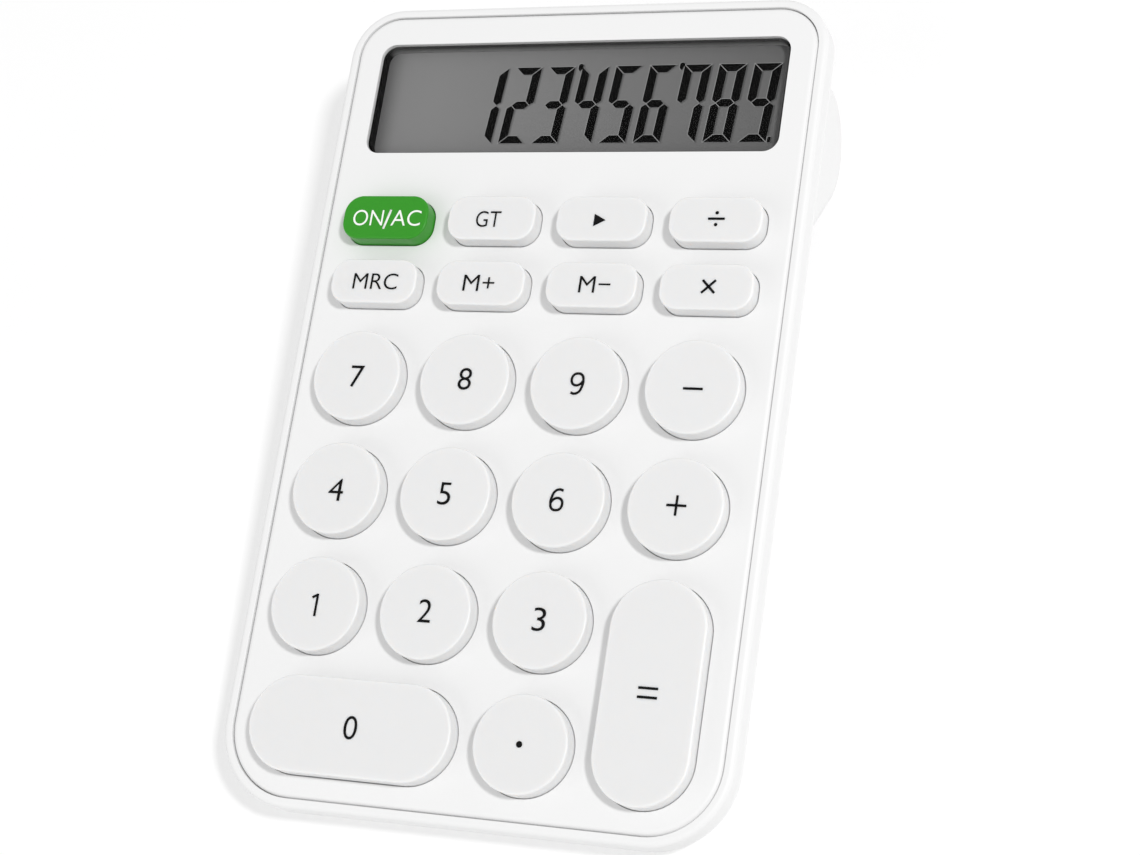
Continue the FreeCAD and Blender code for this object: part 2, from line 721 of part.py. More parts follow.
def below_desk():
    """Everything under the desk's surface, in the case's frame."""
    reach = 2 * case_length
    desk = Part.makeBox(reach, reach, reach, Vector(-reach / 2, -reach / 2, -reach))
    desk.rotate(Vector(0, 0, 0), Vector(1, 0, 0), -math.degrees(tilt))
    desk.translate(Vector(0, crest_centre.y, -lobe_depth - rear_foot_height))
    return desk


def soft_lower_edges(foot):
    """Rounds the edge of the face that a foot stands on, once it has been trimmed to the desk."""
    down = Vector(0, -math.sin(tilt), -math.cos(tilt))
    standing = [face for face in foot.Faces if face.normalAt(0, 0).getAngle(down) < 1e-3]
    return foot.makeFillet(foot_round, standing[0].Edges)


def front_foot(side):
    low = -back_depth - front_foot_height - 2
    foot = post(side * front_foot_x, front_foot_y, front_foot_radius, low, -back_depth + foot_recess)
    return soft_lower_edges(foot.cut(below_desk()))


def rear_foot(side):
    foot = rear_foot_block(side, 0, -lobe_depth - rear_foot_height - 2)
    return soft_lower_edges(foot.cut(below_desk()))


# ---- assembly ----
def build_all():
    pieces = {
        "front_frame": front_frame(),
        "face_panel": face_panel(),
        "rear_cover": rear_cover(),
        "battery_door": battery_door(),
        "display_window": display_window(),
        "lcd_bezel": lcd_bezel(),
        "contact_strip": contact_strip(),
        "key_mat": key_mat(),
        "circuit_board": circuit_board(),
        "chip_blob": chip_blob(),
        "capacitor": capacitor(),
        "chip_resistors": chip_resistors(),
        "battery_cell": battery_cell(),
        "battery_plate": battery_plate(),
        "battery_spring": battery_spring(),
        "battery_wire_red": battery_wire(bay_high_x - contact_thickness - wire_radius),
        "battery_wire_black": battery_wire(bay_low_x + contact_thickness + wire_radius),
        "case_screws": Part.makeCompound([case_screw(x, y) for x, y in case_screw_places]),
        "board_screws": Part.makeCompound([board_screw(x, y) for x, y in board_screw_places]),
        "front_foot_left": front_foot(-1),
        "front_foot_right": front_foot(1),
        "rear_foot_left": rear_foot(-1),
        "rear_foot_right": rear_foot(1),
    }
    pieces.update(lcd_layers())
    for name in keys:
        pieces[name] = keycap(name)
    return pieces


def set_on_desk(pieces):
    """Leans every piece back by the tilt and centres the whole on the desk."""
    tilt_degrees = math.degrees(tilt)
    rear_contact = Vector(0, crest_centre.y, -lobe_depth - rear_foot_height)
    turn = FreeCAD.Rotation(Vector(1, 0, 0), tilt_degrees)
    for shape in pieces.values():
        shape.rotate(Vector(0, 0, 0), Vector(1, 0, 0), tilt_degrees)
    box = Part.makeCompound([pieces["front_frame"], pieces["rear_cover"]]).optimalBoundingBox(False, False)
    shift = Vector(-(box.XMin + box.XMax) / 2, -(box.YMin + box.YMax) / 2, -turn.multVec(rear_contact).z)
    for shape in pieces.values():
        shape.translate(shift)
    hinge = turn.multVec(hinge_line) + shift
    face = turn.multVec(Vector(0, 0, 1))
    print("tilt %.4f degrees, shift %.4f %.4f %.4f" % (tilt_degrees, shift.x, shift.y, shift.z))
    print("face normal %.6f %.6f %.6f" % tuple(face))
    print("door hinge %.4f %.4f %.4f" % tuple(hinge))


def main():
    os.makedirs("parts", exist_ok=True)
    pieces = build_all()
    set_on_desk(pieces)
    for name, shape in pieces.items():
        if not shape.isValid() or not shape.Solids:
            print("not a valid solid:", name)
        shape.exportStep("parts/" + name + ".step")
    print(len(pieces), "pieces,", sum(len(shape.Solids) for shape in pieces.values()), "solids")


main()
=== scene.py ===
import json
import math

import bmesh
import bpy
from mathutils import Matrix, Vector


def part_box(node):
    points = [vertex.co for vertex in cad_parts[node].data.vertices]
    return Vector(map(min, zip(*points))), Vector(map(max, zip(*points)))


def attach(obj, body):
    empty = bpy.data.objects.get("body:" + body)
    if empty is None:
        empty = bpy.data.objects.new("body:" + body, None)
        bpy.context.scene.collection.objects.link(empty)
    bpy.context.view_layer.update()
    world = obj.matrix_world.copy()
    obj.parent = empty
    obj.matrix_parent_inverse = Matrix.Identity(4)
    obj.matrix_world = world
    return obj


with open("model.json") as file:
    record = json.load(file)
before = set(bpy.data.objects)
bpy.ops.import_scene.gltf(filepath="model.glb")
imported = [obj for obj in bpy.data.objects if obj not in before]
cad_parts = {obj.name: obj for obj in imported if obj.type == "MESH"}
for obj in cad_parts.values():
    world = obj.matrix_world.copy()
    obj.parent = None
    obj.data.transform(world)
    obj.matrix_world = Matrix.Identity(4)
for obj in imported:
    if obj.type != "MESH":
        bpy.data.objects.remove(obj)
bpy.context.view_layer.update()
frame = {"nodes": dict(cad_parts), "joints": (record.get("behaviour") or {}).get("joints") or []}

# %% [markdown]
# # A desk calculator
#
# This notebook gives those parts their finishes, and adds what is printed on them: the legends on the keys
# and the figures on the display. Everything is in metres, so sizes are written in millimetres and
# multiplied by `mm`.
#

mm = 0.001

# %% [markdown]
# ## Finding the tilted face
#
# The calculator's face leans back, so nothing printed on it is level. The keys know which way the face
# points, because each one slides straight into it. Turning that slide axis round gives the face's outward
# direction. From it and the X axis comes a small matrix that carries flat artwork, drawn with X to the
# right and Y up, onto the face. Working in the face's own directions keeps every legend square to its key.

# %% The face's own directions
press_axis = next(j["axis"] for j in frame["joints"] if j["name"] == "key_5_press")
outward = -Vector(press_axis).normalized()
across = Vector((1, 0, 0))
upward = outward.cross(across)
face_turn = Matrix((across, upward, outward)).transposed()
print("face leans back by", round(math.degrees(math.acos(outward.z)), 2), "degrees")


def face_extent(node):
    """Lowest and highest corner of a CAD node, measured along the face's own directions."""
    turned = [face_turn.transposed() @ v.co for v in frame["nodes"][node].data.vertices]
    low = Vector(min(point[i] for point in turned) for i in range(3))
    high = Vector(max(point[i] for point in turned) for i in range(3))
    return low, high


def top_centre(node):
    """Middle of a node's outer surface, in the face's own directions."""
    low, high = face_extent(node)
    return Vector(((low.x + high.x) / 2, (low.y + high.y) / 2, high.z))


print("key 5 top centre, mm:", [round(value / mm, 2) for value in top_centre("key_5")])

# %% [markdown]
# ## Colours and nodes
#
# Colours are written the way a designer notes them, as sRGB hex codes. Shaders work with linear light, so
# one function converts them. Another small function adds any node, sets its fields and fills or links its
# sockets, which keeps every material below down to a few readable lines.

# %% Helpers for materials
def linear(code):
    """An sRGB hex colour such as F2F2F2 as linear red, green, blue and alpha."""
    shares = [int(code[i:i + 2], 16) / 255 for i in (0, 2, 4)]
    return tuple(s / 12.92 if s <= 0.04045 else ((s + 0.055) / 1.055) ** 2.4 for s in shares) + (1,)


def add(tree, kind, inputs=None, **settings):
    """Adds a node: settings are its fields, and inputs are values or other nodes' outputs for its sockets."""
    node = tree.nodes.new("ShaderNode" + kind)
    for name, value in settings.items():
        setattr(node, name, value)
    for name, value in (inputs or {}).items():
        if isinstance(value, bpy.types.NodeSocket):
            tree.links.new(value, node.inputs[name])
        else:
            node.inputs[name].default_value = value
    return node


def new_material(name):
    """An empty material with its tree."""
    material = bpy.data.materials.new(name)
    material.use_nodes = True
    material.node_tree.nodes.clear()
    return material, material.node_tree


def finish_material(tree, shader):
    """Joins a shader to the material's output."""
    add(tree, "OutputMaterial", {"Surface": shader})


print("white ABS in linear light:", [round(value, 3) for value in linear("EFEFEF")[:3]])

# %% [markdown]
# ## Satin white ABS
#
# The case, the panel and the keys are injection-moulded ABS. The mould is spark-eroded, which leaves a very
# fine, even grain that scatters highlights into a soft sheen. The grain on a real case is about 0.05 mm and
# too fine to see here, so it is drawn at 0.25 mm and kept faint. A second, slow noise moves the colour and
# the roughness by a hair, as flow in the mould does, so that big flat areas aren't dead.

# %% Material: moulded ABS
def moulded_abs(name, colour, grain_size, grain_depth, roughness, gloss=0.5, milkiness=0.0):
    """Satin plastic whose grain is grain_size across and grain_depth deep, both in millimetres."""
    material, tree = new_material(name)
    place = add(tree, "TexCoord").outputs["Object"]
    flow = add(tree, "TexNoise", {"Vector": place, "Scale": 1 / (25 * mm), "Detail": 2.0})
    tone = add(tree, "MixRGB", {"Fac": flow.outputs["Fac"], "Color1": linear(colour),
                                "Color2": [value * 0.985 for value in linear(colour)[:3]] + [1]})
    sheen = add(tree, "MapRange", {"Value": flow.outputs["Fac"], "From Min": 0.3, "From Max": 0.7,
                                   "To Min": roughness - 0.03, "To Max": roughness + 0.03})
    grain = add(tree, "TexNoise", {"Vector": place, "Scale": 1 / (grain_size * mm), "Detail": 3.0})
    bump = add(tree, "Bump", {"Height": grain.outputs["Fac"], "Distance": grain_depth * mm, "Strength": 0.5})
    shader = add(tree, "BsdfPrincipled", {"Base Color": tone.outputs["Color"], "IOR": 1.53,
                                          "Roughness": sheen.outputs["Result"],
                                          "Specular IOR Level": gloss,
                                          "Subsurface Weight": milkiness,
                                          "Subsurface Radius": (1.0, 0.95, 0.9),
                                          "Subsurface Scale": 0.8 * mm,
                                          "Normal": bump.outputs["Normal"]})
    finish_material(tree, shader.outputs["BSDF"])
    return material


case_abs = moulded_abs("case_abs_satin_white", "EDEDED", 0.25, 0.012, 0.46)
key_abs = moulded_abs("key_abs_fine_white", "E8E8E8", 0.20, 0.006, 0.40, milkiness=1.0)
green_abs = moulded_abs("key_abs_green", "329520", 0.20, 0.006, 0.34, gloss=0.3, milkiness=0.3)
print("made", case_abs.name, key_abs.name, green_abs.name)

# %% [markdown]
# ## The display's window, frame and glass
#
# The window is a thin plate of clear acrylic with an anti-glare coat. A thin flat plate doesn't visibly bend
# what is behind it, so it is a transparent shader with a little mirror mixed in. The Fresnel node gives the
# share that acrylic reflects, which grows where the plate is seen at a slant, and the coat keeps it low.
#
# The frame behind the window is black ABS. It shows as a dark edge on the two sides that face the viewer. The
# far one carries a painted light: it is painted lighter close to the display, for the light that the display
# throws back at it. The dot product of a point with the face's outward direction is its height, so it can
# drive that change.
#
# The display's front polariser is a grey film. Its tone falls off a little to the right. Close to the left
# edge it carries a painted shade, for the shade where the deep frame keeps light away from it.

# %% Materials: acrylic, black ABS, polariser, glass
coat_share = 0.06          # what the coat leaves of acrylic's reflection
painted_left_shade = 4.8           # width of the painted shade along the film's left edge, in millimetres
film_fall = (-30, 45)      # where along X the film's tone starts and stops falling, in millimetres
painted_light_heights = (0.3, 2.2)      # heights above the film between which the far wall's painted light fades to black, in millimetres
wall_reach = 1.5           # distance within which a point counts as part of the far wall, in millimetres


def clear_acrylic():
    """Clear plate with a coat that cuts its reflections to a small part of plain acrylic's."""
    material, tree = new_material("window_clear_acrylic")
    reflected = add(tree, "Fresnel", {"IOR": 1.49})
    coated = add(tree, "Math", {0: reflected.outputs["Fac"], 1: coat_share}, operation="MULTIPLY")
    surface = add(tree, "BsdfPrincipled", {"Base Color": linear("FFFFFF"), "Metallic": 1.0,
                                           "Roughness": 0.04})
    open_air = add(tree, "BsdfTransparent", {"Color": linear("FDFDFD")})
    mixed = add(tree, "MixShader", {0: coated.outputs[0], 1: open_air.outputs["BSDF"],
                                    2: surface.outputs["BSDF"]})
    finish_material(tree, mixed.outputs["Shader"])
    return material


def film_with_painted_shade(name, left_edge, light, dark):
    """Grey film that goes from light to dark along X, with a painted shade that darkens it by degrees near
    its left edge.
    """
    material, tree = new_material(name)
    place = add(tree, "TexCoord").outputs["Object"]
    spot = add(tree, "SeparateXYZ", {"Vector": place})
    # Painted shade: near its left edge the film is mixed towards dark grey.
    edge = add(tree, "MapRange", {"Value": spot.outputs["X"], "From Min": left_edge,
                                  "From Max": left_edge + painted_left_shade * mm,
                                  "To Min": 1.0, "To Max": 0.0}, interpolation_type="SMOOTHSTEP")
    fall = add(tree, "MapRange", {"Value": spot.outputs["X"], "From Min": film_fall[0] * mm,
                                  "From Max": film_fall[1] * mm})
    ground = add(tree, "MixRGB", {"Fac": fall.outputs["Result"], "Color1": linear(light),
                                  "Color2": linear(dark)})
    shaded = add(tree, "MixRGB", {"Fac": edge.outputs["Result"], "Color1": ground.outputs["Color"],
                                  "Color2": linear("6A6A6A")})
    speckle = add(tree, "TexNoise", {"Vector": place, "Scale": 1 / (0.4 * mm), "Detail": 2.0})
    bump = add(tree, "Bump", {"Height": speckle.outputs["Fac"], "Distance": 0.002 * mm, "Strength": 0.4})
    shader = add(tree, "BsdfPrincipled", {"Base Color": shaded.outputs["Color"], "Roughness": 0.5,
                                          "Specular IOR Level": 0.05,
                                          "Normal": bump.outputs["Normal"]})
    finish_material(tree, shader.outputs["BSDF"])
    return material


def bezel_black(film_level, top_wall):
    """Black ABS whose far wall, at top_wall, has a painted light that makes it lighter close to the display's
    film.
    """
    material, tree = new_material("bezel_abs_black")
    place = add(tree, "TexCoord").outputs["Object"]
    level = add(tree, "VectorMath", {0: place, 1: outward}, operation="DOT_PRODUCT").outputs["Value"]
    along = add(tree, "VectorMath", {0: place, 1: upward}, operation="DOT_PRODUCT").outputs["Value"]
    # Painted light: close to the film the far wall is mixed towards light grey, for the light the display
    # throws back.
    low = add(tree, "MapRange", {"Value": level, "From Min": film_level + painted_light_heights[0] * mm,
                                 "From Max": film_level + painted_light_heights[1] * mm,
                                 "To Min": 1.0, "To Max": 0.0})
    far = add(tree, "MapRange", {"Value": along, "From Min": top_wall - wall_reach * mm,
                                 "From Max": top_wall})
    painted_bounce = add(tree, "Math", {0: low.outputs["Result"], 1: far.outputs["Result"]}, operation="MULTIPLY")
    tone = add(tree, "MixRGB", {"Fac": painted_bounce.outputs[0], "Color1": linear("0A0A0A"),
                                "Color2": linear("ABABAB")})
    grain = add(tree, "TexNoise", {"Vector": place, "Scale": 1 / (0.25 * mm), "Detail": 3.0})
    bump = add(tree, "Bump", {"Height": grain.outputs["Fac"], "Distance": 0.01 * mm, "Strength": 0.5})
    shader = add(tree, "BsdfPrincipled", {"Base Color": tone.outputs["Color"], "Roughness": 0.5,
                                          "IOR": 1.53, "Specular IOR Level": 0.1,
                                          "Normal": bump.outputs["Normal"]})
    finish_material(tree, shader.outputs["BSDF"])
    return material


window_acrylic = clear_acrylic()
window_low, window_high = face_extent("display_window")
film_top = face_extent("lcd_front_polariser")[1].z
black_abs = bezel_black(film_top, window_high.y)
display_film = film_with_painted_shade("display_grey_polariser_painted_shade", window_low.x, "848484", "656565")
display_glass = moulded_abs("display_glass_edge", "5A605E", 0.5, 0.002, 0.12)
print("window, mm:", round((window_high.x - window_low.x) / mm, 1), "by",
      round((window_high.y - window_low.y) / mm, 1))

# %% [markdown]
# ## Rubber, metal and the parts inside
#
# The feet are moulded rubber, matt and slightly mottled. The key mat is milky silicone. The board is
# phenolic laminate, with a paper fibre in it. Screws are zinc-plated and show faint turning marks, and the
# cell's contacts are nickel. The cell has a printed jacket with a coloured band at its positive end. These
# are seen when the battery door is open or from underneath, so each one gets its own finish.

# %% Materials: rubber, silicone, laminate, sleeve and wire
def soft_rubber(name, colour, roughness, mottle_size):
    """Matt rubber with a mottle of mottle_size millimetres."""
    material, tree = new_material(name)
    place = add(tree, "TexCoord").outputs["Object"]
    mottle = add(tree, "TexNoise", {"Vector": place, "Scale": 1 / (mottle_size * mm), "Detail": 4.0})
    tone = add(tree, "MixRGB", {"Fac": mottle.outputs["Fac"], "Color1": linear(colour),
                                "Color2": [value * 0.8 for value in linear(colour)[:3]] + [1]})
    bump = add(tree, "Bump", {"Height": mottle.outputs["Fac"], "Distance": 0.03 * mm, "Strength": 0.5})
    shader = add(tree, "BsdfPrincipled", {"Base Color": tone.outputs["Color"], "Roughness": roughness,
                                          "IOR": 1.45, "Normal": bump.outputs["Normal"]})
    finish_material(tree, shader.outputs["BSDF"])
    return material


foot_rubber = soft_rubber("foot_rubber_grey", "9A9A98", 0.75, 0.5)
strip_rubber = soft_rubber("contact_strip_rubber", "1C1C1C", 0.7, 0.3)
mat_silicone = soft_rubber("key_mat_silicone", "CFCFC8", 0.55, 0.8)
board_laminate = soft_rubber("board_phenolic_laminate", "9A6B35", 0.5, 0.25)
chip_epoxy = soft_rubber("chip_epoxy_black", "141414", 0.25, 2.0)
sleeve_vinyl = soft_rubber("capacitor_vinyl_sleeve", "1B2440", 0.3, 1.0)
red_insulation = soft_rubber("wire_vinyl_red", "B01818", 0.35, 1.0)
black_insulation = soft_rubber("wire_vinyl_black", "181818", 0.35, 1.0)
print("materials so far:", len(bpy.data.materials))

# %% [markdown]
# Plating has no colour of its own laid over it, so it is a fully metallic shader whose roughness varies with
# the tool marks. The cell's jacket is printed foil. Comparing a point's X with two limits splits it into the
# dark body, the coppery band and the bare cap.

# %% Materials: plated metal and the cell's jacket
def plated_metal(name, colour, roughness, mark_size):
    """Bright plated metal whose tool marks are mark_size millimetres apart."""
    material, tree = new_material(name)
    place = add(tree, "TexCoord").outputs["Object"]
    marks = add(tree, "TexNoise", {"Vector": place, "Scale": 1 / (mark_size * mm), "Detail": 4.0})
    dulling = add(tree, "MapRange", {"Value": marks.outputs["Fac"], "To Min": roughness - 0.08,
                                     "To Max": roughness + 0.12})
    bump = add(tree, "Bump", {"Height": marks.outputs["Fac"], "Distance": 0.004 * mm, "Strength": 0.4})
    shader = add(tree, "BsdfPrincipled", {"Base Color": linear(colour), "Metallic": 1.0,
                                          "Roughness": dulling.outputs["Result"],
                                          "Normal": bump.outputs["Normal"]})
    finish_material(tree, shader.outputs["BSDF"])
    return material


def cell_jacket(band_start, cap_start):
    """Printed jacket: dark body, a copper band from band_start, bare metal from cap_start, along X."""
    material, tree = new_material("cell_printed_jacket")
    place = add(tree, "TexCoord").outputs["Object"]
    along = add(tree, "SeparateXYZ", {"Vector": place}).outputs["X"]
    in_band = add(tree, "Math", {0: along, 1: band_start}, operation="GREATER_THAN").outputs[0]
    in_cap = add(tree, "Math", {0: along, 1: cap_start}, operation="GREATER_THAN").outputs[0]
    jacket = add(tree, "MixRGB", {"Fac": in_band, "Color1": linear("2B2E33"), "Color2": linear("B4703A")})
    whole = add(tree, "MixRGB", {"Fac": in_cap, "Color1": jacket.outputs["Color"],
                                 "Color2": linear("C9C9C6")})
    scuff = add(tree, "TexNoise", {"Vector": place, "Scale": 1 / (3 * mm), "Detail": 3.0})
    gloss = add(tree, "MapRange", {"Value": scuff.outputs["Fac"], "To Min": 0.18, "To Max": 0.36})
    shader = add(tree, "BsdfPrincipled", {"Base Color": whole.outputs["Color"], "Metallic": in_band,
                                          "Roughness": gloss.outputs["Result"]})
    finish_material(tree, shader.outputs["BSDF"])
    return material


screw_zinc = plated_metal("screw_zinc_plate", "B9BCC0", 0.32, 0.2)
contact_nickel = plated_metal("contact_nickel_plate", "CFCBC2", 0.22, 0.15)
band_length, cap_length = 12, 1.5
cell_low, cell_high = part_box("battery_cell")
jacket = cell_jacket(cell_high.x - band_length * mm, cell_high.x - cap_length * mm)
print("cell length, mm:", round((cell_high.x - cell_low.x) / mm, 1))

# %% [markdown]
# ## Putting a finish on every part
#
# A CAD part's shape is left alone. Only its material slot is filled, from a table that reads like a parts
# list. Anything that isn't named in the table is a key, so the keys need no line each.

# %% Finishes for the CAD parts
finishes = {
    "front_frame": case_abs, "face_panel": case_abs, "rear_cover": case_abs, "battery_door": case_abs,
    "key_on_ac": green_abs,
    "display_window": window_acrylic, "lcd_bezel": black_abs,
    "lcd_front_polariser": display_film, "lcd_front_glass": display_glass,
    "lcd_rear_glass": display_glass, "lcd_reflector": display_film,
    "contact_strip": strip_rubber, "key_mat": mat_silicone, "circuit_board": board_laminate,
    "chip_blob": chip_epoxy, "chip_resistors": chip_epoxy, "capacitor": sleeve_vinyl,
    "battery_cell": jacket, "battery_plate": contact_nickel, "battery_spring": contact_nickel,
    "battery_wire_red": red_insulation, "battery_wire_black": black_insulation,
    "case_screws": screw_zinc, "board_screws": screw_zinc,
    "front_foot_left": foot_rubber, "front_foot_right": foot_rubber,
    "rear_foot_left": foot_rubber, "rear_foot_right": foot_rubber,
}
for name, node in frame["nodes"].items():
    node.data.materials.clear()
    node.data.materials.append(finishes.get(name, key_abs))
print("finished", len(frame["nodes"]), "parts")

# %% [markdown]
# ## Ink
#
# Legends are pad-printed: a soft pad lays down a film of ink a few hundredths of a millimetre thick, with a
# slightly duller surface than the plastic. The film is modelled as a real layer, 0.02 mm thick, so that it
# moves with its key.

# %% Material: printing ink
def printing_ink(name, colour):
    """Slightly dull ink, as it dries on plastic."""
    material, tree = new_material(name)
    place = add(tree, "TexCoord").outputs["Object"]
    cover = add(tree, "TexNoise", {"Vector": place, "Scale": 1 / (0.3 * mm), "Detail": 2.0})
    dulling = add(tree, "MapRange", {"Value": cover.outputs["Fac"], "To Min": 0.45, "To Max": 0.65})
    shader = add(tree, "BsdfPrincipled", {"Base Color": linear(colour),
                                          "Roughness": dulling.outputs["Result"], "IOR": 1.45,
                                          "Specular IOR Level": 0.15})
    finish_material(tree, shader.outputs["BSDF"])
    return material


black_ink = printing_ink("legend_ink_black", "0C0C0D")
white_ink = printing_ink("legend_ink_white", "F4F6F2")
ink_thickness = 0.02 * mm
ink_lift = 0.004 * mm      # keeps the film's underside off the plastic, so that the two don't flicker
print("ink film, mm:", ink_thickness / mm)

# %% [markdown]
# ## Legends made of letters and digits
#
# The lettering is a light, open sans serif. It starts as a text curve that is given some thickness. Once it
# is a mesh it is scaled to its printed width and height, and moved to its place on the key. A print pad
# never lands dead centre, so each legend has its own small offset. The last step turns the finished artwork
# onto the face, and lets it ride on its key.

# %% Artwork on a key
def span(bm):
    """Lowest and highest corner of a bmesh."""
    return [Vector(pick(v.co[i] for v in bm.verts) for i in range(3)) for pick in (min, max)]


def place_on_face(bm, centre):
    """Turns flat artwork onto the face and carries its origin to a point in the face's directions."""
    bmesh.ops.transform(bm, matrix=face_turn.to_4x4() @ Matrix.Translation(centre), verts=bm.verts)


def mesh_piece(name, bm, material):
    """Makes an object at the origin from a bmesh."""
    bmesh.ops.remove_doubles(bm, verts=bm.verts, dist=0.0001 * mm)
    bmesh.ops.recalc_face_normals(bm, faces=bm.faces)
    mesh = bpy.data.meshes.new(name)
    bm.to_mesh(mesh)
    bm.free()
    mesh.materials.append(material)
    piece = bpy.data.objects.new(name, mesh)
    bpy.context.scene.collection.objects.link(piece)
    return piece


def print_on_key(key, bm, slide, ink):
    """Prints artwork, drawn about the origin, on a key; slide is its offset from the key's centre in mm."""
    centre = top_centre(key) + Vector((slide[0] * mm, slide[1] * mm, ink_lift))
    place_on_face(bm, centre)
    legend = mesh_piece("legend_" + key.removeprefix("key_"), bm, ink)
    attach(legend, key)


def curve_to_bmesh(curve):
    """Turns a curve or text datablock into a bmesh, and clears the curve away."""
    holder = bpy.data.objects.new("artwork", curve)
    bpy.context.scene.collection.objects.link(holder)
    bpy.context.view_layer.update()
    finished = holder.evaluated_get(bpy.context.evaluated_depsgraph_get())
    mesh = bpy.data.meshes.new_from_object(finished)
    bm = bmesh.new()
    bm.from_mesh(mesh)
    bpy.data.objects.remove(holder)
    bpy.data.meshes.remove(mesh)
    bpy.data.curves.remove(curve)
    return bm


def lettering(words, width, height):
    """Text, width by height millimetres, centred on the origin and as thick as the ink."""
    curve = bpy.data.curves.new("lettering", "FONT")
    curve.body = words
    curve.offset = -0.006      # draws every outline in a little, for a lighter stroke
    curve.extrude = 0.5
    curve.resolution_u = 6
    bm = curve_to_bmesh(curve)
    low, high = span(bm)
    bmesh.ops.translate(bm, vec=(-(low.x + high.x) / 2, -(low.y + high.y) / 2, 0.5), verts=bm.verts)
    stretch = Vector((width * mm / (high.x - low.x), height * mm / (high.y - low.y), ink_thickness))
    bmesh.ops.scale(bm, vec=stretch, verts=bm.verts)
    return bm


# Each digit's width, and how far it sits right of its key's centre and above it.
digit_height = 4.22
digits = {"0": (2.62, 0.5, 0.0), "2": (2.55, 0.07, 0.1), "3": (2.4, 0.07, 0.1), "4": (2.95, 0.19, -0.4),
          "5": (2.45, 0.05, -0.05), "7": (2.7, 0.19, -0.28), "8": (2.6, 0.24, -0.05)}
for digit, (width, right, up) in digits.items():
    print_on_key("key_" + digit, lettering(digit, width, digit_height), (right, up), black_ink)

capitals = 3.2
print_on_key("key_gt", lettering("GT", 4.95, capitals), (-0.5, -0.3), black_ink)
print_on_key("key_mrc", lettering("MRC", 9.25, capitals), (0.45, -0.12), black_ink)
print_on_key("key_m_plus", lettering("M+", 6.25, capitals), (-0.25, -0.1), black_ink)
print_on_key("key_m_minus", lettering("M−", 6.1, capitals), (0.75, 0.0), black_ink)
print("legends set in type:", len(digits) + 4)

# %% [markdown]
# ## Legends made of strokes
#
# The arithmetic signs are plain bars and dots. A bar is a one-face grid with its corners rounded by a
# bevel, and a dot is a circle of enough sides to look round. Both are extruded to the film's thickness.

# %% Bars, dots and the signs
stroke = 0.46
soft_corner = 0.09


def add_bar(bm, x, y, length, turn=0.0):
    """A bar with softened ends, centred at x, y and turned by degrees."""
    made = bmesh.ops.create_grid(bm, x_segments=1, y_segments=1, size=0.5)["verts"]
    bmesh.ops.scale(bm, vec=(length * mm, stroke * mm, 1), verts=made)
    bmesh.ops.rotate(bm, matrix=Matrix.Rotation(math.radians(turn), 3, "Z"), verts=made)
    bmesh.ops.translate(bm, vec=(x * mm, y * mm, 0), verts=made)
    bmesh.ops.bevel(bm, geom=made, offset=soft_corner * mm, affect="VERTICES", segments=3, profile=0.5,
                    material=-1)


def add_dot(bm, x, y, diameter):
    """A round dot at x, y."""
    made = bmesh.ops.create_circle(bm, cap_ends=True, segments=32, radius=diameter * mm / 2)["verts"]
    bmesh.ops.translate(bm, vec=(x * mm, y * mm, 0), verts=made)


def thicken(bm, thickness):
    """Gives flat artwork its thickness upwards."""
    made = bmesh.ops.extrude_face_region(bm, geom=list(bm.faces))["geom"]
    raised = [part for part in made if isinstance(part, bmesh.types.BMVert)]
    bmesh.ops.translate(bm, vec=(0, 0, thickness), verts=raised)


def sign(bars=(), dots=()):
    """Artwork made of bars (x, y, length, turn) and dots (x, y, diameter)."""
    bm = bmesh.new()
    for bar in bars:
        add_bar(bm, *bar)
    for dot in dots:
        add_dot(bm, *dot)
    thicken(bm, ink_thickness)
    return bm


def arrowhead(width, height):
    """A solid triangle that points right, from a circle of three sides."""
    bm = bmesh.new()
    bmesh.ops.create_circle(bm, cap_ends=True, segments=3, radius=1)
    bmesh.ops.rotate(bm, matrix=Matrix.Rotation(-math.pi / 2, 3, "Z"), verts=bm.verts)
    low, high = span(bm)
    bmesh.ops.translate(bm, vec=-(low + high) / 2, verts=bm.verts)
    stretch = Vector((width * mm / (high.x - low.x), height * mm / (high.y - low.y), 1))
    bmesh.ops.scale(bm, vec=stretch, verts=bm.verts)
    thicken(bm, ink_thickness)
    return bm


print_on_key("key_divide", sign([(0, 0, 3.2)], [(0, 1.15, 0.66), (0, -1.15, 0.66)]), (0.2, 0.07), black_ink)
print_on_key("key_multiply", sign([(0, 0, 3.5, 45), (0, 0, 3.5, -45)]), (0.5, 0.0), black_ink)
print_on_key("key_minus", sign([(0, 0, 3.7)]), (0.26, -0.42), black_ink)
print_on_key("key_plus", sign([(0, 0, 3.7), (0, 0, 3.7, 90)]), (0.23, 0.07), black_ink)
print_on_key("key_equals", sign([(0, 0.8, 3.64), (0, -0.8, 3.64)]), (-0.2, -0.22), black_ink)
print_on_key("key_point", sign(dots=[(0, 0, 1.15)]), (-0.06, -0.08), black_ink)
print_on_key("key_backspace", arrowhead(2.3, 2.45), (-0.2, -0.35), black_ink)

# %% [markdown]
# ## Legends drawn with a pen
#
# Three digits have their own shape: the one has a flag, and the six and nine have curved tails. They are
# drawn as a pen would, with a path that runs through a few points and a flat nib that is swept along it.
# Blender sweeps it by taking a second curve, here a small flat rectangle, as the path's bevel object. The
# nine is the six turned half round.

# %% Pen strokes
def nib_profile(width, thickness):
    """A closed flat rectangle, to be swept along a path."""
    profile = bpy.data.curves.new("nib", "CURVE")
    profile.dimensions = "2D"
    outline = profile.splines.new("POLY")
    outline.points.add(3)
    corners = [(-width / 2, 0), (width / 2, 0), (width / 2, thickness), (-width / 2, thickness)]
    for point, (x, y) in zip(outline.points, corners):
        point.co = (x, y, 0, 1)
    outline.use_cyclic_u = True
    holder = bpy.data.objects.new("nib", profile)
    bpy.context.scene.collection.objects.link(holder)
    return holder


